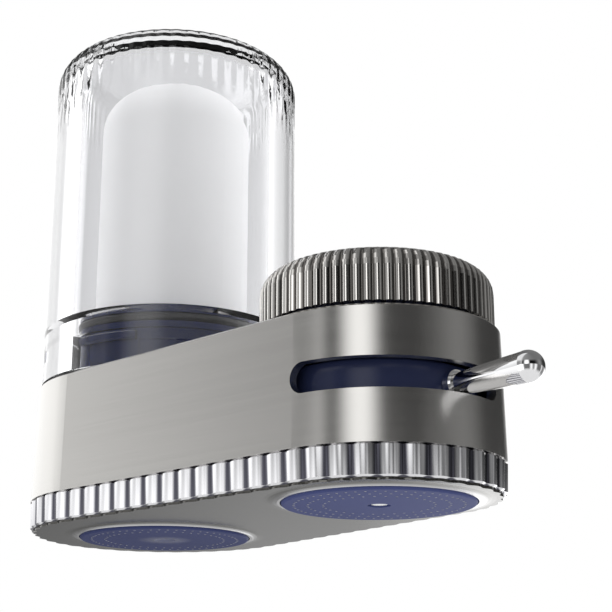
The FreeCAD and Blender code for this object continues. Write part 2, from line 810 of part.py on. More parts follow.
def make_inlet_neck():
    flange_bottom = roof_bottom - s.neck_flange_height
    socket_outer = neck_socket_radius + s.neck_socket_wall
    socket_top = rotor_spigot_top + s.running_gap
    return finish(lathe("inlet_neck", [
        (neck_socket_radius, s.neck_socket_bottom),
        (socket_outer, s.neck_socket_bottom),
        (socket_outer, flange_bottom),
        (s.neck_flange_radius, flange_bottom),
        (s.neck_flange_radius, roof_bottom),
        (s.neck_radius, roof_bottom),
        (s.neck_radius, neck_top),
        (s.neck_bore, neck_top),
        (s.neck_bore, s.neck_bore_floor),
        (s.inlet_bore, s.neck_bore_floor),
        (s.inlet_bore, socket_top),
        (neck_socket_radius, socket_top),
    ]), "inlet_neck")


def make_adapter():
    finish(lathe("neck_washer", [
        (s.neck_bore + s.fit_clearance, neck_washer_bottom),
        (s.neck_radius - s.running_gap, neck_washer_bottom),
        (s.neck_radius - s.running_gap, adapter_seat),
        (s.neck_bore + s.fit_clearance, adapter_seat),
    ]), "neck_washer")
    recess_radius = s.thread_radius + s.fit_clearance * 3
    hole_radius = s.strainer_radius - s.fit_clearance * 3
    finish(lathe("faucet_adapter", [
        (hole_radius, adapter_bottom),
        (s.adapter_cup_radius, adapter_bottom),
        (s.adapter_cup_radius, adapter_seat),
        (s.adapter_flange_radius, adapter_seat),
        (s.adapter_flange_radius, adapter_seat + s.adapter_flange_height),
        (s.adapter_collar_radius, adapter_seat + s.adapter_flange_height),
        (s.adapter_collar_radius, mouth_height),
        (s.thread_radius, mouth_height),
        (s.thread_radius, thread_bottom),
        (recess_radius, thread_bottom),
        (recess_radius, washer_seat),
        (hole_radius, washer_seat),
    ]), "faucet_adapter")
    finish(lathe("faucet_washer", [
        (s.strainer_radius + s.fit_clearance, washer_seat),
        (recess_radius - s.fit_clearance, washer_seat),
        (recess_radius - s.fit_clearance, thread_bottom),
        (s.strainer_radius + s.fit_clearance, thread_bottom),
    ]), "faucet_washer")
    mesh_disc = cylinder(s.strainer_radius, washer_seat, washer_seat + s.strainer_height)
    holes = []
    for reach_share, count in ((0.28, 5), (0.6, 10)):
        reach = float(s.strainer_radius) * reach_share
        for index in range(count):
            angle = 2 * math.pi * index / count
            foot = Vector(reach * math.cos(angle), reach * math.sin(angle), float(washer_seat) - 1)
            holes.append(Part.makeCylinder(float(s.strainer_height), float(s.strainer_height) + 2, foot, UP))
    mesh_holes = doc.addObject("Part::Feature", "strainer_holes")
    mesh_holes.Shape = Part.makeCompound(holes)
    finish(cut(mesh_disc, mesh_holes), "inlet_strainer")


def shoulder_sections(depth, shoulder, top, steps):
    """Sections of a fluted wall's rounded shoulder, where the flutes run out."""
    sections = []
    for step in range(steps + 1):
        angle = math.pi / 2 * step / steps
        sections.append((depth * math.cos(0.9 * angle), -shoulder * (1 - math.cos(angle)),
                         top - shoulder + shoulder * math.sin(angle)))
    return sections


def make_swivel_nut():
    depth, count = float(s.nut_flute_depth), int(float(s.nut_flutes))
    sections = [(depth, 0, float(nut_bottom))]
    sections += shoulder_sections(depth, float(s.nut_shoulder), float(nut_top), 6)
    outside = wave_solid("nut_outside", circle_point(float(s.nut_radius)), count, sections)
    thread_bore = cylinder(s.neck_radius + s.running_gap, nut_bottom - 1, nut_lip_bottom)
    lip_bore = cylinder(s.adapter_collar_radius + s.running_gap, nut_bottom, nut_top + 1)
    return finish(cut(outside, [thread_bore, lip_bore]), "swivel_nut")


def make_collar():
    groove_radius = seal_radius - s.seal_section
    flange_bottom = roof_bottom - s.collar_flange_height
    collar = lathe("collar_turned", [
        (collar_recess_radius, flange_bottom),
        (s.collar_flange_radius, flange_bottom),
        (s.collar_flange_radius, roof_bottom),
        (s.collar_radius, roof_bottom),
        (s.collar_radius, seal_height - s.seal_section),
        (groove_radius, seal_height - s.seal_section),
        (groove_radius, seal_height + s.seal_section),
        (s.collar_radius, seal_height + s.seal_section),
        (s.collar_radius, collar_top),
        (collar_recess_radius, collar_top),
    ], -s.axis_spacing)
    round_circles(collar, s.collar_rounding,
                  lambda r, z: near(r, s.collar_radius) and near(z, collar_top))
    lugs = []
    lug_root = s.collar_radius - s.lug_root_depth
    lug_crest = lug_path_radius + s.lug_section
    lug_bottom = lug_height - s.lug_section
    lug_top = lug_height + s.lug_section
    for index in range(int(float(s.lug_count))):
        lug = lathe("lug", [
            (lug_root, lug_bottom),
            (lug_crest - s.lug_chamfer, lug_bottom),
            (lug_crest, lug_bottom + s.lug_chamfer),
            (lug_crest, lug_top - s.lug_chamfer),
            (lug_crest - s.lug_chamfer, lug_top),
            (lug_root, lug_top),
        ], -s.axis_spacing, s.lug_span)
        start = float(s.lug_start) + 360 * index / float(s.lug_count)
        lug.Placement.Rotation = FreeCAD.Rotation(UP, start)
        lugs.append(lug)
    finish(fuse([collar] + lugs), "cartridge_collar")
    seat_radius = collar_recess_radius - s.fit_clearance / 2
    seat = lathe("seat_turned", [
        (s.spigot_bore, s.riser_top),
        (s.collar_stem_radius, s.riser_top),
        (s.collar_stem_radius, flange_bottom - s.seat_ledge),
        (s.collar_radius, flange_bottom - s.seat_ledge),
        (s.collar_radius, flange_bottom),
        (seat_radius, flange_bottom),
        (seat_radius, collar_floor),
        (s.spigot_bore, collar_floor),
    ], -s.axis_spacing)
    feeds = []
    count = int(float(s.feed_hole_count))
    for index in range(count):
        angle = 2 * math.pi * index / count
        feeds.append(cylinder(s.feed_hole_radius, s.riser_top - 1, collar_floor + 1,
                              -s.axis_spacing + s.feed_hole_reach * math.cos(angle),
                              s.feed_hole_reach * math.sin(angle)))
    finish(cut(seat, feeds), "cartridge_seat")
    finish(ring(seal_radius, s.seal_section, seal_height, -s.axis_spacing), "collar_o_ring")


def make_cartridge():
    inner = candle_radius - s.candle_wall
    candle = lathe("ceramic_candle", [
        (inner, candle_bottom),
        (candle_radius, candle_bottom),
        (candle_radius, candle_top),
        (0, candle_top),
        (0, candle_top - s.candle_wall),
        (inner, candle_top - s.candle_wall),
    ], -s.axis_spacing)
    round_circles(candle, s.candle_dome,
                  lambda r, z: near(r, candle_radius) and near(z, candle_top))
    round_circles(candle, s.candle_dome - s.candle_wall,
                  lambda r, z: near(r, inner) and near(z, candle_top - s.candle_wall))
    finish(candle, "ceramic_candle")
    groove_radius = s.cap_spigot_radius - 1.5 * s.cap_seal_section
    finish(lathe("candle_cap", [
        (s.cap_bore, cap_spigot_bottom),
        (s.cap_spigot_radius, cap_spigot_bottom),
        (s.cap_spigot_radius, cap_seal_height - s.cap_seal_section),
        (groove_radius, cap_seal_height - s.cap_seal_section),
        (groove_radius, cap_seal_height + s.cap_seal_section),
        (s.cap_spigot_radius, cap_seal_height + s.cap_seal_section),
        (s.cap_spigot_radius, cap_bottom),
        (cap_radius, cap_bottom),
        (cap_radius, candle_bottom),
        (s.cap_bore, candle_bottom),
    ], -s.axis_spacing), "candle_cap")
    seal_path = groove_radius + s.cap_seal_section
    finish(ring(seal_path, s.cap_seal_section, cap_seal_height, -s.axis_spacing), "spigot_o_ring")


def pie(radius, bottom, top, start, span):
    """A slice of a cylinder about the cartridge's axis."""
    item = cylinder(radius, bottom, top, -s.axis_spacing)
    bind(item, "Angle", span)
    item.Placement.Rotation = FreeCAD.Rotation(UP, start)
    return item


def make_cover():
    depth, count = float(s.crown_flute_depth), int(float(s.crown_flutes))
    crown_bottom = float(cover_top - s.crown_height)
    sections = [
        (0, float(s.cover_draft), float(cover_bottom)),
        (0, 0, crown_bottom),
        (depth, 0, crown_bottom + float(s.crown_fade)),
    ]
    sections += shoulder_sections(depth, float(s.cover_shoulder), float(cover_top), 8)
    outside = wave_solid("cover_outside", circle_point(float(cover_radius), -float(s.axis_spacing)),
                         count, sections)
    cavity = lathe("cover_cavity", [
        (0, cover_bottom - 1),
        (socket_radius, cover_bottom - 1),
        (socket_radius, cover_socket_top),
        (cover_cavity_radius, cover_socket_top + s.cover_step),
        (cover_cavity_radius, cover_cavity_top),
        (0, cover_cavity_top),
    ], -s.axis_spacing)
    round_circles(cavity, s.cover_cavity_rounding,
                  lambda r, z: near(r, cover_cavity_radius) and near(z, cover_cavity_top))
    keyway_radius = lug_path_radius + s.lug_section + s.running_gap
    lug_top = lug_height + s.lug_section + s.running_gap
    lug_bottom = lug_height - s.lug_section - s.running_gap
    tools = [cavity]
    for index in range(int(float(s.lug_count))):
        start = float(s.lug_start) + 360 * index / float(s.lug_count) - float(s.lug_play)
        entry_span = s.lug_span + 2 * s.lug_play
        tools.append(pie(keyway_radius, cover_bottom - 1, lug_top, start, entry_span))
        tools.append(pie(keyway_radius, lug_bottom, lug_top, start, entry_span + s.cover_twist))
    finish(cut(outside, tools), "clear_cover")
    finish(lathe("cover_gasket", [
        (cover_gasket_inner, housing_top),
        (cover_radius - s.fit_clearance, housing_top),
        (cover_radius - s.fit_clearance, housing_top + s.cover_gasket_height),
        (cover_gasket_inner, housing_top + s.cover_gasket_height),
    ], -s.axis_spacing), "cover_gasket")


PIECES = [
    "housing_shell", "fluted_band", "base_plate", "water_manifold", "manifold_screws",
    "filtered_outlet_disc", "filtered_outlet_cup", "filtered_outlet_gasket",
    "spray_outlet_disc", "spray_outlet_cup", "spray_outlet_gasket",
    "stream_nozzle", "inlet_neck", "ceramic_seat_seal", "fixed_ceramic_disc", "moving_ceramic_disc",
    "valve_rotor", "rotor_o_ring", "selector_lever", "neck_washer", "faucet_adapter", "faucet_washer",
    "inlet_strainer", "swivel_nut", "cartridge_collar", "cartridge_seat", "collar_o_ring",
    "ceramic_candle", "candle_cap", "spigot_o_ring", "clear_cover", "cover_gasket",
]


def check_and_write():
    """Stop on any failed object or piece, then write each piece to its own file."""
    doc.recompute()
    for item in doc.Objects:
        if "Invalid" in item.State or "Error" in item.State:
            raise RuntimeError(f"{item.Name} failed: {item.State}")
    os.makedirs("parts", exist_ok=True)
    ready = []
    for label in PIECES:
        item = [found for found in doc.Objects if found.Label == label][-1]
        shape = item.Shape
        if shape.isNull() or not shape.isValid() or not shape.Solids:
            raise RuntimeError(f"{label} has no valid solid")
        ready.append((label, shape))
    for label, shape in ready:
        shape.exportStep(f"parts/{label}.step")
        box = shape.BoundBox
        print(f"{label:24s} solids {len(shape.Solids)} volume {shape.Volume:10.1f}"
              f" x {box.XMin:7.2f} {box.XMax:7.2f} y {box.YMin:6.2f} {box.YMax:6.2f}"
              f" z {box.ZMin:7.2f} {box.ZMax:7.2f}")


make_fluted_band()
make_base_plate()
make_outlets()
make_housing()
make_manifold()
make_manifold_screws()
make_valve()
make_lever()
make_inlet_neck()
make_adapter()
make_swivel_nut()
make_collar()
make_cartridge()
make_cover()
check_and_write()
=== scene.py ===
import math

import bmesh
import bpy
from bpy.props import FloatProperty, FloatVectorProperty, IntProperty, PointerProperty
from bpy.types import Operator, Panel, PropertyGroup
from mathutils import Matrix, Vector


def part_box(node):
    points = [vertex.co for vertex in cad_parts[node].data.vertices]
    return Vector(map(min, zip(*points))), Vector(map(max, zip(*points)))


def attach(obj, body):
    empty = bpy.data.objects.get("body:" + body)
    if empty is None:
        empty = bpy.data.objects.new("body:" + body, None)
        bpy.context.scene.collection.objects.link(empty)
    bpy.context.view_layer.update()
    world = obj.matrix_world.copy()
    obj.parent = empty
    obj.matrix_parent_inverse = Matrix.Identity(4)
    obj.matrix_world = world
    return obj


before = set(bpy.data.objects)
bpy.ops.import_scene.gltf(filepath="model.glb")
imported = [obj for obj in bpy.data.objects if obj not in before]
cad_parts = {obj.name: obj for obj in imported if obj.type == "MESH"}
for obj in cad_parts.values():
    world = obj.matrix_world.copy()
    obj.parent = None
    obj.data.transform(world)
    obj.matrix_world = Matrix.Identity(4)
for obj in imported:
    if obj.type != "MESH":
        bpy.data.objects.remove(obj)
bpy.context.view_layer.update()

bl_info = {
    "name": "Faucet mount water filter",
    "version": (1, 0, 0),
    "blender": (4, 5, 0),
    "location": "View3D > Sidebar > Water filter",
    "description": "Finishes, fine pieces and a soft studio for a faucet mount water filter",
    "category": "Object",
}

MILLIMETRE = 0.001

# Corners of the nodes that the finishes and the new pieces take their places from
SPRAY_LOW, SPRAY_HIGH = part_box("spray_outlet_disc")
FILTER_LOW, FILTER_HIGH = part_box("filtered_outlet_disc")
BAND_LOW, BAND_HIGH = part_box("fluted_band")
NUT_LOW, NUT_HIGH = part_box("swivel_nut")
NOZZLE_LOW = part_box("stream_nozzle")[0]
NECK_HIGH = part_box("inlet_neck")[1]
ADAPTER_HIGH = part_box("faucet_adapter")[1]
STRAINER_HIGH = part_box("inlet_strainer")[1]

# The axis of the filtered outlet and the radius of both discs
FILTER_X = (FILTER_LOW.x + FILTER_HIGH.x) / 2
DISC_RADIUS = (SPRAY_HIGH.x - SPRAY_LOW.x) / 2

# The two circles of the fluted band's outline, and its section
BIG_CENTRE = -74.5 * MILLIMETRE
BIG_RADIUS = 33.4 * MILLIMETRE
SMALL_RADIUS = 27.5 * MILLIMETRE
BAND_FLUTE_DEPTH = 0.65 * MILLIMETRE
BAND_DRAFT = 0.25 * MILLIMETRE
BAND_CHAMFER = 0.4 * MILLIMETRE

# The painted shade in the band's valleys ends at the first share of a flute's depth, counted
# from its bottom, and has faded to the ridge's colour after the second
BAND_SHADE_TOP = 0.14
BAND_SHADE_FADE = 0.34

# The nut's flutes follow a cosine round it. The painted shade in their valleys ends where
# the cosine is at minus the edge, and fades over the second number. The face inside is all ridge.
NUT_FLUTES = 72
NUT_SHADE_EDGE = 0.55
NUT_SHADE_FADE = 0.6
NUT_FACE_RADIUS = NUT_HIGH.x * 0.8


def colour_setting(name, description, default):
    return FloatVectorProperty(name=name, description=description, subtype="COLOR",
                               default=default, min=0, max=1)


def length_setting(name, description, default, low, high):
    return FloatProperty(name=name, description=description, subtype="DISTANCE",
                         unit="LENGTH", default=default, min=low, max=high)


class MetalSettings(PropertyGroup):
    """Colours and polish of the metal pieces."""

    housing: colour_setting("Housing", "Brushed steel of the housing shell", (0.60, 0.59, 0.57))
    housing_roughness: FloatProperty(
        name="Housing roughness", description="How far the brushing spreads a reflection",
        default=0.22, min=0, max=1, subtype="FACTOR")
    brush_lines: FloatProperty(
        name="Brush lines", description="Lines of the brushing in each metre of height",
        default=3200, min=100, max=20000)
    band: colour_setting("Fluted band", "Plating of the fluted band", (0.80, 0.80, 0.82))
    # The band valley colour is painted shade deep in the band's flutes
    band_valley_shade: colour_setting(
        "Band valleys", "Plating deep in the band's flutes", (0.085, 0.085, 0.105))
    nut: colour_setting("Swivel nut", "Plating of the swivel nut", (0.82, 0.80, 0.77))
    # The nut valley colour is painted shade deep in the nut's flutes
    nut_valley_shade: colour_setting(
        "Nut valleys", "Plating deep in the nut's flutes", (0.18, 0.17, 0.16))
    chrome: colour_setting(
        "Polished chrome", "Chrome of the lever and the stream outlet's bore", (0.88, 0.88, 0.89))
    plate: colour_setting("Base plate", "Satin metal under the housing", (0.125, 0.122, 0.115))
    brass: colour_setting("Plated brass", "Faucet adapter", (0.80, 0.78, 0.73))
    steel: colour_setting("Plain steel", "Screws and strainer", (0.52, 0.52, 0.51))


class PlasticSettings(PropertyGroup):
    """Colours of the plastic, ceramic and rubber pieces."""

    navy: colour_setting(
        "Navy gloss", "Valve rotor, neck and outlet cups", (0.022, 0.029, 0.075))
    # A darker copy of the navy gloss, as painted shade for the parts inside the clear cover
    socket: colour_setting(
        "Navy socket", "Cartridge collar, its seat and the candle's cap", (0.006, 0.012, 0.060))
    face: colour_setting("Navy face", "Faces of the outlet discs", (0.065, 0.079, 0.200))
    candle: colour_setting(
        "Candle", "Porous white ceramic of the filter candle", (0.90, 0.90, 0.895))
    cover: colour_setting("Clear cover", "Tint of the clear cover", (0.965, 0.967, 0.98))
    cover_index: FloatProperty(
        name="Cover index", description="Refractive index of the clear cover",
        default=1.49, min=1, max=2)
    inner: colour_setting("Inner plastic", "Water manifold", (0.62, 0.62, 0.60))
    ceramic: colour_setting("Dense ceramic", "The valve's two lapped discs", (0.78, 0.77, 0.73))
    rubber: colour_setting("Rubber", "Seals and washers", (0.012, 0.012, 0.013))


class JetSettings(PropertyGroup):
    """The small jets set into the outlet discs."""

    radius: length_setting(
        "Jet radius", "Outer radius of one jet", 0.31 * MILLIMETRE, 0.0001, 0.0006)
    rim: length_setting(
        "Jet rim", "Width of the rim round a jet's bore", 0.15 * MILLIMETRE, 0.00002, 0.0003)
    length: length_setting("Jet length", "Length of one jet", 1.2 * MILLIMETRE, 0.0002, 0.002)
    sides: IntProperty(
        name="Jet sides", description="Flat sides of one jet", default=10, min=6, max=32)


class ThreadSettings(PropertyGroup):
    """The screw threads at the inlet."""

    faucet_pitch: length_setting(
        "Faucet pitch", "Rise of the faucet thread in one turn", 1.0 * MILLIMETRE, 0.0005, 0.003)
    faucet_depth: length_setting(
        "Faucet depth", "Height of the faucet thread's ridge", 0.55 * MILLIMETRE, 0.0001, 0.001)
    neck_pitch: length_setting(
        "Neck pitch", "Rise of the neck thread in one turn", 2.0 * MILLIMETRE, 0.001, 0.004)
    neck_depth: length_setting(
        "Neck depth", "Height of the neck thread's ridge", 0.28 * MILLIMETRE, 0.0001, 0.001)


class StudioSettings(PropertyGroup):
    """Floor and camera."""

    floor_height: length_setting("Floor height", "Height of the studio floor", -0.40, -2, -0.06)
    floor_reach: length_setting("Floor reach", "Radius of the studio floor", 0.95, 0.3, 20)
    floor_colour: colour_setting("Floor", "Pale studio floor", (0.82, 0.82, 0.82))
    camera_place: FloatVectorProperty(
        name="Camera place", description="Where the camera stands", subtype="XYZ",
        unit="LENGTH", default=(0.20802, -0.21523, -0.09939))
    camera_direction: FloatVectorProperty(
        name="Camera direction", description="Where the camera looks", subtype="DIRECTION",
        default=(-0.6992, 0.6519, 0.2936))
    lens: FloatProperty(
        name="Lens", description="Focal length of the camera on a 36 mm sensor",
        default=82.915, min=10, max=300)


class FilterSettings(PropertyGroup):
    """Everything that a user would change."""

    metal: PointerProperty(type=MetalSettings)
    plastic: PointerProperty(type=PlasticSettings)
    jets: PointerProperty(type=JetSettings)
    threads: PointerProperty(type=ThreadSettings)
    studio: PointerProperty(type=StudioSettings)


def settings():
    return bpy.context.scene.water_filter


def tone(colour, share=1.0):
    """A share of a colour, fully opaque."""
    return (colour[0] * share, colour[1] * share, colour[2] * share, 1.0)


class Signal:
    """One output of a node, which can be used in arithmetic."""

    def __init__(self, nodes, socket):
        self.nodes = nodes
        self.socket = socket

    def math(self, operation, first, second=0.0, clamp=False):
        made = self.nodes.make("ShaderNodeMath", {"operation": operation, "use_clamp": clamp},
                               {0: first, 1: second})
        return Signal(self.nodes, made.outputs[0])

    def __add__(self, other):
        return self.math("ADD", self, other)

    def __radd__(self, other):
        return self.math("ADD", other, self)

    def __sub__(self, other):
        return self.math("SUBTRACT", self, other)

    def __rsub__(self, other):
        return self.math("SUBTRACT", other, self)

    def __mul__(self, other):
        return self.math("MULTIPLY", self, other)

    def __rmul__(self, other):
        return self.math("MULTIPLY", other, self)

    def __truediv__(self, other):
        return self.math("DIVIDE", self, other)

    def taken(self, operation):
        """This value put through a function of one value, such as a cosine."""
        return self.math(operation, self)

    def above(self, level):
        """1 where this value is over the level, and 0 elsewhere."""
        return self.math("GREATER_THAN", self, level)

    def clamped(self):
        """This value kept between 0 and 1."""
        return self.math("ADD", self, 0.0, True)

    def between(self, first, second):
        """The first value where this one is 0, and the second where it is 1."""
        return first * (1 - self) + second * self


class Nodes:
    """The nodes of one material or of the world."""

    def __init__(self, owner):
        owner.use_nodes = True
        self.tree = owner.node_tree
        self.tree.nodes.clear()

    def feed(self, node, inputs):
        """Give a node's sockets their values or links."""
        for name, value in inputs.items():
            if isinstance(value, Signal):
                self.tree.links.new(value.socket, node.inputs[name])
            else:
                node.inputs[name].default_value = value

    def make(self, kind, settings=None, inputs=None):
        made = self.tree.nodes.new(kind)
        for name, value in (settings or {}).items():
            if name == "stops":
                self.set_stops(made.color_ramp, value)
            else:
                setattr(made, name, value)
        self.feed(made, inputs or {})
        return made

    def signal(self, kind, output=0, settings=None, inputs=None):
        return Signal(self, self.make(kind, settings, inputs).outputs[output])

    def set_stops(self, ramp, stops):
        while len(ramp.elements) > 1:
            ramp.elements.remove(ramp.elements[-1])
        for index, (place, level) in enumerate(stops):
            stop = ramp.elements[0] if index == 0 else ramp.elements.new(place)
            stop.position = place
            stop.color = (level, level, level, 1)

    def place(self, coordinates="Object"):
        """The three coordinates of a point, or of a direction in the world."""
        split = self.make("ShaderNodeSeparateXYZ", None,
                          {0: self.signal("ShaderNodeTexCoord", coordinates)})
        return [Signal(self, split.outputs[index]) for index in range(3)]

    def reach(self, x, y, centre_x=0.0):
        """Distance from an upright axis."""
        across = x - centre_x
        return (across * across + y * y).taken("SQRT")

    def noise(self, scale, detail, roughness):
        """Noise by place. The scale is one number for a metre, or one for each of x, y and z."""
        if not isinstance(scale, tuple):
            scale = (scale,) * 3
        place = self.signal("ShaderNodeTexCoord", "Object")
        stretched = self.signal("ShaderNodeMapping", 0, None, {"Vector": place, "Scale": scale})
        return self.signal("ShaderNodeTexNoise", "Fac", None, {
            "Vector": stretched, "Scale": 1.0, "Detail": detail, "Roughness": roughness})

    def mix_colour(self, factor, first, second):
        """The first colour where the factor is 0, and the second where it is 1."""
        made = self.make("ShaderNodeMix", {"data_type": "RGBA"})
        self.feed(made, {0: factor, 6: first, 7: second})
        return Signal(self, made.outputs[2])

    def mottled(self, mask, colour, low, high):
        """A colour that goes from its low share to its high share with a mask."""
        return self.mix_colour(mask, tone(colour, low), tone(colour, high))

    def bump(self, height, distance, strength):
        return self.signal("ShaderNodeBump", 0, None,
                           {"Height": height, "Distance": distance, "Strength": strength})

    def surface(self, inputs):
        shader = self.signal("ShaderNodeBsdfPrincipled", 0, None, inputs)
        self.make("ShaderNodeOutputMaterial", None, {"Surface": shader})


# The finishes made here, by name. Blender adds a number to the names that the frame's own
# plain materials have already, so they aren't looked up in its list.
FINISHES = {}


def new_finish(name):
    FINISHES[name] = bpy.data.materials.new(name)
    return Nodes(FINISHES[name])


def brushed_steel():
    """Fine level lines round the housing, with faint cloudy changes of tone."""
    metal = settings().metal
    nodes = new_finish("brushed_housing")
    fine_lines = nodes.noise((14, 14, metal.brush_lines), 3, 0.6)
    broad_lines = nodes.noise((9, 9, metal.brush_lines / 7), 2, 0.5)
    cloud = nodes.noise((28, 28, 60), 2, 0.5)
    streak = fine_lines * 0.6 + broad_lines * 0.4
    streak_roughness = (streak - 0.5) * 0.06
    nodes.surface({
        "Base Color": nodes.mottled(streak, metal.housing, 0.95, 1.05),
        "Metallic": 1.0,
        "Roughness": streak_roughness + metal.housing_roughness + cloud * 0.01,
        "Normal": nodes.bump(streak, 0.01 * MILLIMETRE, 0.8),
    })


def band_ridge(nodes):
    """1 on the fluted band's ridges and 0 in its valleys, which get painted shade, by the distance
    from the outline.
    """
    x, y, height = nodes.place()
    lean_sine = (BIG_RADIUS - SMALL_RADIUS) / -BIG_CENTRE
    lean_cosine = math.sqrt(1 - lean_sine * lean_sine)
    along = x - BIG_CENTRE
    side = y.taken("ABSOLUTE")
    travel = along * lean_cosine - side * lean_sine
    past_big_end = travel.above(0.0)
    past_flank = travel.above(-BIG_CENTRE * lean_cosine)
    big_end = nodes.reach(x, y, BIG_CENTRE) - BIG_RADIUS
    flank = side * lean_cosine + along * lean_sine - BIG_RADIUS
    small_end = nodes.reach(x, y) - SMALL_RADIUS
    distance = past_flank.between(past_big_end.between(big_end, flank), small_end)
    drop = (BAND_HIGH.z - height) / (BAND_HIGH.z - BAND_LOW.z)
    shallow = (distance + drop * BAND_DRAFT) / BAND_FLUTE_DEPTH + 1
    upper_edge = height.above(BAND_HIGH.z - BAND_CHAMFER)
    lower_edge = 1 - height.above(BAND_LOW.z + BAND_CHAMFER)
    ridge = (shallow - BAND_SHADE_TOP) / BAND_SHADE_FADE
    return (ridge + upper_edge + lower_edge).clamped()


def nut_ridge(nodes):
    """1 on the swivel nut's ridges and face, and 0 in its valleys, which get painted shade."""
    x, y = nodes.place()[:2]
    angle = x.math("ARCTAN2", y, x)
    ripple = (angle * NUT_FLUTES).taken("COSINE")
    face = 1 - nodes.reach(x, y).above(NUT_FACE_RADIUS)
    return ((ripple + NUT_SHADE_EDGE) / NUT_SHADE_FADE + face).clamped()


def plated(name, colour, roughness, smear, ridge=None, valley=None):
    """Bright plating with faint polishing marks and rub wear, and painted shade in the valleys if
    given.
    """
    nodes = new_finish(name)
    marks = nodes.noise((260, 260, 90), 3, 0.6)
    rub = nodes.noise(55, 4, 0.6)
    base = nodes.mottled(rub, colour, 0.965, 1.0)
    if ridge:
        # Painted shade: the valley colour fills the flutes where the ridge mask is 0
        base = nodes.mix_colour(ridge(nodes), tone(valley), base)
    nodes.surface({
        "Base Color": base,
        "Metallic": 1.0,
        "Roughness": roughness + marks * smear,
    })


def satin_metal():
    """Fine blasted grain of the base plate, with a bright rim round each outlet."""
    metal = settings().metal
    rim_width = 2.2 * MILLIMETRE
    rim_fade = 1.6 * MILLIMETRE
    nodes = new_finish("satin_plate")
    grain = nodes.noise(5200, 2, 0.7)
    cloud = nodes.noise(45, 3, 0.6)
    base = nodes.mottled(cloud, metal.plate, 0.97, 1.03)
    x, y = nodes.place()[:2]
    for centre_x in (FILTER_X, 0.0):
        inside = DISC_RADIUS + rim_width - nodes.reach(x, y, centre_x)
        base = nodes.mix_colour((inside / rim_fade).clamped(), base, tone(metal.band, 0.85))
    nodes.surface({
        "Base Color": base,
        "Metallic": 1.0,
        "Roughness": 0.15 + grain * 0.05,
    })


def navy_face():
    """Dull deep blue of the outlet faces with painted shade darkening them towards the filtered
    one, whose dimple is glossy.
    """
    plastic = settings().plastic
    dimple_radius = 7 * MILLIMETRE
    nodes = new_finish("navy_face")
    grain = nodes.noise(5200, 1, 0.5)
    x, y = nodes.place()[:2]
    base = nodes.mottled(grain, plastic.face, 0.94, 1.06)
    # Painted shade: the face colour darkens towards the filtered outlet
    shade_towards_filtered = (x / FILTER_X).clamped()
    base = nodes.mix_colour(shade_towards_filtered, base, tone(plastic.face, 0.66))
    dimple = (1 - nodes.reach(x, y, FILTER_X) / dimple_radius).clamped()
    nodes.surface({
        "Base Color": base,
        "Roughness": 0.42 + grain * 0.06,
        "Specular IOR Level": 0.02,
        "Coat Weight": dimple,
        "Coat Roughness": 0.22,
    })


def navy_gloss(name, colour):
    """Deep blue with a pearl in it, under a smooth gloss."""
    nodes = new_finish(name)
    pearl = nodes.noise(6500, 1, 0.5)
    cloud = nodes.noise(70, 2, 0.5)
    nodes.surface({
        "Base Color": nodes.mottled(pearl, colour, 0.92, 1.1),
        "Roughness": 0.2 + cloud * 0.05,
        "Specular IOR Level": 0.2,
        "Coat Weight": 0.12,
        "Coat Roughness": 0.05,
    })


def clear_cover():
    """Clear moulded plastic with a polished surface and a faint cool tint."""
    plastic = settings().plastic
    nodes = new_finish("clear_plastic")
    nodes.surface({
        "Base Color": tone(plastic.cover),
        "Roughness": 0.0,
        "IOR": plastic.cover_index,
        "Transmission Weight": 1.0,
    })


def porous_ceramic():
    """White fired clay with fine pores."""
    plastic = settings().plastic
    nodes = new_finish("white_ceramic")
    pores = nodes.noise(2600, 4, 0.7)
    cloud = nodes.noise((60, 60, 40), 3, 0.6)
    nodes.surface({
        "Base Color": nodes.mottled(cloud, plastic.candle, 0.975, 1.02),
        "Roughness": 0.62 + pores * 0.2,
        "Normal": nodes.bump(pores, 0.05 * MILLIMETRE, 0.5),
    })


def moulded(name, colour, roughness, grain_scale):
    """Moulded plastic, rubber or lapped ceramic with a fine even grain."""
    nodes = new_finish(name)
    grain = nodes.noise(grain_scale, 2, 0.6)
    cloud = nodes.noise(80, 2, 0.5)
    nodes.surface({
        "Base Color": nodes.mottled(cloud, colour, 0.93, 1.05),
        "Roughness": roughness + grain * 0.12,
        "Normal": nodes.bump(grain, 0.02 * MILLIMETRE, 0.5),
    })


def floor_finish():
    """Pale and dull, and fading out towards the floor's edge."""
    studio = settings().studio
    fade_width = studio.floor_reach * 0.45
    nodes = new_finish("studio_floor")
    x, y = nodes.place()[:2]
    fade = ((studio.floor_reach - nodes.reach(x, y)) / fade_width).clamped()
    nodes.surface({"Base Color": tone(studio.floor_colour), "Roughness": 0.9, "Alpha": fade})


# Which nodes of the frame have each finish
FINISH_OF = {
    "brushed_housing": ["housing_shell"],
    "plated_band": ["fluted_band"],
    "satin_plate": ["base_plate"],
    "navy_face": ["filtered_outlet_disc", "spray_outlet_disc"],
    "navy_plastic": ["filtered_outlet_cup", "spray_outlet_cup", "valve_rotor", "inlet_neck"],
    "navy_shaded_socket": ["cartridge_collar", "cartridge_seat", "candle_cap"],
    "polished_chrome": ["selector_lever", "stream_nozzle"],
    "plated_nut": ["swivel_nut"],
    "clear_plastic": ["clear_cover"],
    "white_ceramic": ["ceramic_candle"],
    "inner_plastic": ["water_manifold"],
    "black_rubber": ["filtered_outlet_gasket", "spray_outlet_gasket", "ceramic_seat_seal",
                     "collar_o_ring", "cover_gasket", "rotor_o_ring", "neck_washer",
                     "faucet_washer", "spigot_o_ring"],
    "dense_ceramic": ["fixed_ceramic_disc", "moving_ceramic_disc"],
    "plated_brass": ["faucet_adapter"],
    "screw_steel": ["manifold_screws", "inlet_strainer"],
}


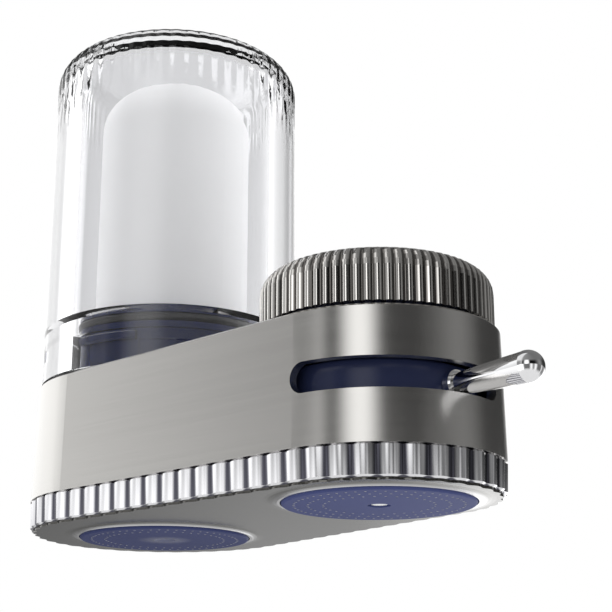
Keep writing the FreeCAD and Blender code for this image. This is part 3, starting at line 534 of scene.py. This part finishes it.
class MakeFinishes(Operator):
    """Give every node of the frame its finish"""

    bl_idname = "water_filter.finishes"
    bl_label = "Finishes"

    def execute(self, context):
        metal, plastic = settings().metal, settings().plastic
        brushed_steel()
        plated("plated_band", metal.band, 0.09, 0.05, band_ridge, metal.band_valley_shade)
        satin_metal()
        navy_face()
        navy_gloss("navy_plastic", plastic.navy)
        # The darker navy here is painted shade for the parts inside the clear cover
        navy_gloss("navy_shaded_socket", plastic.socket)
        plated("polished_chrome", metal.chrome, 0.02, 0.03)
        plated("plated_nut", metal.nut, 0.11, 0.05, nut_ridge, metal.nut_valley_shade)
        clear_cover()
        porous_ceramic()
        moulded("inner_plastic", plastic.inner, 0.42, 2400)
        moulded("black_rubber", plastic.rubber, 0.32, 1800)
        moulded("dense_ceramic", plastic.ceramic, 0.12, 4000)
        plated("plated_brass", metal.brass, 0.14, 0.08)
        plated("screw_steel", metal.steel, 0.22, 0.10)
        for finish, names in FINISH_OF.items():
            for name in names:
                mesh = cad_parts[name].data
                mesh.materials.clear()
                mesh.materials.append(FINISHES[finish])
        left = set(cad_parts) - {name for names in FINISH_OF.values() for name in names}
        if left:
            raise RuntimeError(f"no finish for {sorted(left)}")
        return {"FINISHED"}


MERGE_DISTANCE = 0.0001 * MILLIMETRE
SHARP_ANGLE = math.radians(35)


def add_piece(name, shape, slot, body):
    """Turn a finished bmesh into a piece that rides on a body, in the frame's plain material
    of a slot."""
    bmesh.ops.remove_doubles(shape, verts=shape.verts, dist=MERGE_DISTANCE)
    bmesh.ops.recalc_face_normals(shape, faces=shape.faces)
    mesh = bpy.data.meshes.new(name)
    shape.to_mesh(mesh)
    shape.free()
    mesh.materials.append(bpy.data.materials[slot])
    mesh.shade_smooth()
    mesh.set_sharp_from_angle(angle=SHARP_ANGLE)
    piece = bpy.data.objects.new(name, mesh)
    bpy.context.scene.collection.objects.link(piece)
    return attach(piece, body)


def ring_places(centre_x, rings):
    """Places of the jets on rings, each given as a share of the disc's radius and a count."""
    for share, count in rings:
        reach = share * DISC_RADIUS
        for index in range(count):
            angle = 2 * math.pi * (index + 0.5) / count
            yield Vector((centre_x + reach * math.cos(angle), reach * math.sin(angle), 0))


def jet_field(places, face_height):
    """One small pipe with a recessed bore at each place."""
    jets = settings().jets
    tip_share = 0.96
    bore_depth = 0.5 * MILLIMETRE
    shape = bmesh.new()
    for place in places:
        middle = Vector((place.x, place.y, face_height + jets.length / 2))
        bmesh.ops.create_cone(shape, cap_ends=True, segments=jets.sides, radius1=jets.radius,
                              radius2=jets.radius * tip_share, depth=jets.length,
                              matrix=Matrix.Translation(middle))
    ends = [face for face in shape.faces if face.normal.z < -0.9]
    bmesh.ops.inset_individual(shape, faces=ends, thickness=jets.rim, depth=0.0,
                               use_even_offset=True)
    bmesh.ops.translate(shape, verts=list({v for face in ends for v in face.verts}),
                        vec=(0, 0, bore_depth))
    return shape


class MakeJets(Operator):
    """Set the small jets into the two outlet discs"""

    bl_idname = "water_filter.jets"
    bl_label = "Outlet jets"

    face_gap = 0.02 * MILLIMETRE
    spray_rings = ((0.87, 56), (0.725, 44), (0.57, 32))
    filtered_rings = ((0.86, 56), (0.70, 44))

    def execute(self, context):
        rows = [
            ("spray_jets", SPRAY_LOW, SPRAY_HIGH, self.spray_rings),
            ("filtered_jets", FILTER_LOW, FILTER_HIGH, self.filtered_rings),
        ]
        for name, low, high, rings in rows:
            places = ring_places((low.x + high.x) / 2, rings)
            add_piece(name, jet_field(places, low.z + self.face_gap), "screw_steel", "body")
        return {"FINISHED"}


class MakeStreamDish(Operator):
    """Make the hollow bright dish round the stream outlet's bore"""

    bl_idname = "water_filter.stream_dish"
    bl_label = "Stream dish"

    rim = 1.8 * MILLIMETRE
    bore = 0.5 * MILLIMETRE
    depth = 0.7 * MILLIMETRE
    recess = 0.1 * MILLIMETRE
    curve_steps = 6
    turn_steps = 48

    def execute(self, context):
        shape = bmesh.new()
        start = NOZZLE_LOW.z + self.recess
        top = start + 2 * self.depth
        chain = []
        for step in range(self.curve_steps + 1):
            share = step / self.curve_steps
            reach = self.rim + (self.bore - self.rim) * share
            rise = self.depth * math.sin(share * math.pi / 2)
            chain.append(shape.verts.new((reach, 0, start + rise)))
        chain.append(shape.verts.new((self.bore, 0, top)))
        chain.append(shape.verts.new((self.rim, 0, top)))
        edges = [shape.edges.new(pair) for pair in zip(chain, chain[1:] + chain[:1])]
        bmesh.ops.spin(shape, geom=chain + edges, cent=(0, 0, 0), axis=(0, 0, 1),
                       angle=2 * math.pi, steps=self.turn_steps, use_merge=True)
        add_piece("stream_dish", shape, "polished_chrome", "body")
        return {"FINISHED"}


def screw_ridge(radius, depth, pitch, bottom, top, steps=64):
    """A screw thread's ridge. A negative depth points it towards the axis."""
    shape = bmesh.new()
    sunk = 0.06 * MILLIMETRE
    half_foot = pitch * 0.4
    half_crest = half_foot * 0.25
    root = radius - math.copysign(sunk, depth)
    crest = radius + depth
    corners = [(root, -half_foot), (crest, -half_crest), (crest, half_crest), (root, half_foot)]
    chain = [shape.verts.new((reach, 0, bottom + half_foot + rise)) for reach, rise in corners]
    face = shape.faces.new(chain)
    turns = (top - bottom - 2 * half_foot) / pitch
    count = max(8, int(turns * steps))
    profile = [face] + list(face.verts) + list(face.edges)
    bmesh.ops.spin(shape, geom=profile, cent=(0, 0, 0), axis=(0, 0, 1), dvec=(0, 0, pitch / steps),
                   angle=2 * math.pi * count / steps, steps=count)
    return shape


class MakeThreads(Operator):
    """Lay the ridges of the faucet thread and the neck's thread"""

    bl_idname = "water_filter.threads"
    bl_label = "Threads"

    faucet_bore = 10.9 * MILLIMETRE
    neck_radius = 20.9 * MILLIMETRE
    thread_start = 8.4 * MILLIMETRE
    end_gap = 0.4 * MILLIMETRE
    neck_steps = 96

    def execute(self, context):
        threads = settings().threads
        top = ADAPTER_HIGH.z
        inner = screw_ridge(self.faucet_bore, -threads.faucet_depth, threads.faucet_pitch,
                            top - self.thread_start, top - self.end_gap)
        add_piece("faucet_thread", inner, "plated_brass", "adapter")
        outer = screw_ridge(self.neck_radius, threads.neck_depth, threads.neck_pitch,
                            NUT_LOW.z + self.end_gap, NECK_HIGH.z - self.end_gap,
                            self.neck_steps)
        add_piece("neck_thread", outer, "navy_plastic", "body")
        return {"FINISHED"}


class MakeStrainerGauze(Operator):
    """Lay two crossed layers of wire gauze over the inlet strainer"""

    bl_idname = "water_filter.gauze"
    bl_label = "Strainer gauze"

    wire_radius = 0.09 * MILLIMETRE
    wire_sides = 6
    pitch = 0.75 * MILLIMETRE
    reach = 6.6 * MILLIMETRE
    # The gauze's middle above the strainer, and each layer's distance from that middle
    middle_rise = 2.2 * wire_radius
    layer_rise = 0.8 * wire_radius

    def execute(self, context):
        shape = bmesh.new()
        middle = STRAINER_HIGH.z + self.middle_rise
        lay = Matrix.Rotation(math.pi / 2, 4, "Y")
        count = int(self.reach / self.pitch)
        for index in range(-count, count + 1):
            offset = index * self.pitch
            length = 2 * math.sqrt(max(self.reach ** 2 - offset ** 2, self.wire_radius ** 2))
            for turn, rise in ((0, self.layer_rise), (math.pi / 2, -self.layer_rise)):
                along = Matrix.Rotation(turn, 4, "Z") @ Matrix.Translation((0, offset, 0))
                place = Matrix.Translation((0, 0, middle + rise))
                bmesh.ops.create_cone(shape, cap_ends=True, segments=self.wire_sides,
                                      radius1=self.wire_radius, radius2=self.wire_radius,
                                      depth=length, matrix=place @ along @ lay)
        add_piece("strainer_gauze", shape, "screw_steel", "adapter")
        return {"FINISHED"}


# Brightness of the studio in reflections, by azimuth in degrees: soft boxes and dark curtains
# at eye level, more boxes below it and a dim ceiling above it
WALL_LEVELS = [
    (-180, 1.50), (-150, 1.50), (-142, 1.06), (-134, 0.57), (-127, 0.31), (-119, 0.28),
    (-108, 0.35), (-98, 0.58), (-92, 0.13), (-84, 0.00), (-80, 0.36), (-73, 1.15), (-66, 1.65),
    (-56, 1.65), (-49, 0.95), (-42, 0.08), (-36, 0.00), (-8, 0.01), (6, 0.08), (23, 0.22),
    (35, 0.26), (48, 0.17), (62, 0.04), (108, 0.03), (120, 0.60), (132, 1.20), (180, 1.50),
]
LOW_LEVELS = [
    (-180, 0.30), (-150, 0.70), (-135, 1.30), (-120, 1.60), (-105, 1.80), (-90, 1.60),
    (-78, 0.20), (-45, 0.16), (-32, 1.20), (-15, 0.20), (0, 1.20), (15, 0.16), (40, 0.16),
    (50, 0.90), (60, 0.20), (82, 0.40), (92, 1.60), (122, 1.90), (129, 1.75), (132, 0.80),
    (135, 0.52), (139, 0.47), (147, 0.25), (180, 0.30),
]
HIGH_LEVELS = [
    (-180, 0.12), (-162, 0.20), (-150, 0.90), (-105, 0.85), (-90, 0.30), (-60, 0.25),
    (0, 0.17), (60, 0.18), (120, 0.20), (180, 0.12),
]
# Brightness seen through the clear cover at eye level, by azimuth
CLEAR_LEVELS = [
    (-180, 1.60), (-165, 1.70), (-152, 0.60), (-142, 0.35), (-105, 0.35), (-90, 0.55),
    (-43, 0.90), (10, 0.70), (22, 0.80), (38, 1.00), (72, 1.60), (84, 1.30), (94, 1.00),
    (104, 0.90), (122, 0.58), (127, 0.68), (131, 1.10), (136, 1.10), (139, 0.68), (150, 0.70),
    (158, 0.68), (170, 0.72), (180, 1.60),
]
# Brightness of the light that reaches the candle through the cover, by azimuth
CANDLE_LEVELS = [
    (-180, 1.50), (-168, 3.20), (-122, 3.20), (-104, 1.00), (-43, 0.92), (0, 1.20), (36, 3.05),
    (70, 3.05), (95, 1.20), (180, 1.50),
]
RAMP_TOP = 4.0

# Heights of a direction, as sines, where eye level ends, and how far each change takes
LOW_START = 0.15
LOW_FADE = 0.08
HIGH_START = 0.4
HIGH_FADE = 0.2

# Brightness seen through the cover below and above eye level, and the light on dull
# surfaces with what its height adds
CLEAR_BELOW = 0.95
CLEAR_ABOVE = 0.7
DULL_LEVEL = 0.95
DULL_SLOPE = 0.15


def level_ramp(nodes, azimuth, levels):
    """Brightness by azimuth. The ramp's own values go up to 1 only, so they are scaled."""
    stops = [((place + 180) / 360, level / RAMP_TOP) for place, level in levels]
    ramp = nodes.signal("ShaderNodeValToRGB", "Color", {"stops": stops}, {"Fac": azimuth})
    return ramp * RAMP_TOP


def make_world():
    """A soft studio: plain white behind the object, and walls with boxes and curtains."""
    world = bpy.data.worlds.new("studio")
    bpy.context.scene.world = world
    nodes = Nodes(world)
    x, y, height = nodes.place("Generated")
    azimuth = x.math("ARCTAN2", y, x) / (2 * math.pi) + 0.5
    walls, low, high, clear, candle = (
        level_ramp(nodes, azimuth, levels) for levels in
        (WALL_LEVELS, LOW_LEVELS, HIGH_LEVELS, CLEAR_LEVELS, CANDLE_LEVELS))
    lowered = ((LOW_START - height) / LOW_FADE).clamped()
    raised = ((height - HIGH_START) / HIGH_FADE).clamped()
    rays = nodes.make("ShaderNodeLightPath")
    seen, glossy, through, bounces = (Signal(nodes, rays.outputs[name]) for name in (
        "Is Camera Ray", "Is Glossy Ray", "Is Transmission Ray", "Diffuse Depth"))
    walls = raised.between(lowered.between(walls, low), high)
    clear = raised.between(lowered.between(clear, CLEAR_BELOW), CLEAR_ABOVE)
    # Rays that have left a dull surface and pass the cover are those that light the candle
    clear = bounces.above(0.5).between(clear, candle)
    dull = height * DULL_SLOPE + DULL_LEVEL
    level = through.between(glossy.between(dull, walls), clear)
    background = nodes.signal("ShaderNodeBackground", 0, None, {
        "Color": (1, 1, 1, 1), "Strength": seen.between(level, 1.0)})
    nodes.make("ShaderNodeOutputWorld", None, {"Surface": background})


class MakeStudio(Operator):
    """Set up the floor, the light and the camera"""

    bl_idname = "water_filter.studio"
    bl_label = "Studio"

    floor_sides = 64
    sensor_width = 36

    def execute(self, context):
        studio = settings().studio
        shape = bmesh.new()
        bmesh.ops.create_circle(shape, cap_ends=True, segments=self.floor_sides,
                                radius=studio.floor_reach,
                                matrix=Matrix.Translation((0, 0, studio.floor_height)))
        mesh = bpy.data.meshes.new("floor")
        shape.to_mesh(mesh)
        shape.free()
        floor_finish()
        mesh.materials.append(FINISHES["studio_floor"])
        floor = bpy.data.objects.new("floor", mesh)
        context.scene.collection.objects.link(floor)
        make_world()
        camera = bpy.data.cameras.new("camera")
        camera.lens = studio.lens
        camera.sensor_width = self.sensor_width
        camera.clip_start = 0.01
        camera.clip_end = 100
        holder = bpy.data.objects.new("camera", camera)
        holder.location = studio.camera_place
        holder.rotation_euler = Vector(studio.camera_direction).to_track_quat("-Z", "Y").to_euler()
        context.scene.collection.objects.link(holder)
        context.scene.camera = holder
        context.scene.view_settings.view_transform = "Standard"
        return {"FINISHED"}


STEPS = (MakeFinishes, MakeJets, MakeStreamDish, MakeThreads, MakeStrainerGauze, MakeStudio)


class FilterPanel(Panel):
    """Lists the steps and their settings in the sidebar of the 3D view"""

    bl_idname = "VIEW3D_PT_water_filter"
    bl_label = "Water filter"
    bl_space_type = "VIEW_3D"
    bl_region_type = "UI"
    bl_category = "Water filter"

    def draw(self, context):
        for step in STEPS:
            self.layout.operator(step.bl_idname)
        for group in ("metal", "plastic", "jets", "threads", "studio"):
            box = self.layout.box()
            owner = getattr(context.scene.water_filter, group)
            for name in owner.bl_rna.properties.keys():
                if name not in ("rna_type", "name"):
                    box.prop(owner, name)


CLASSES = (MetalSettings, PlasticSettings, JetSettings, ThreadSettings, StudioSettings,
           FilterSettings, *STEPS, FilterPanel)


def register():
    for item in CLASSES:
        bpy.utils.register_class(item)
    bpy.types.Scene.water_filter = PointerProperty(type=FilterSettings)


def unregister():
    del bpy.types.Scene.water_filter
    for item in reversed(CLASSES):
        bpy.utils.unregister_class(item)


def main():
    register()
    bpy.ops.water_filter.finishes()
    bpy.ops.water_filter.jets()
    bpy.ops.water_filter.stream_dish()
    bpy.ops.water_filter.threads()
    bpy.ops.water_filter.gauze()
    bpy.ops.water_filter.studio()


if __name__ == "__main__":
    main()
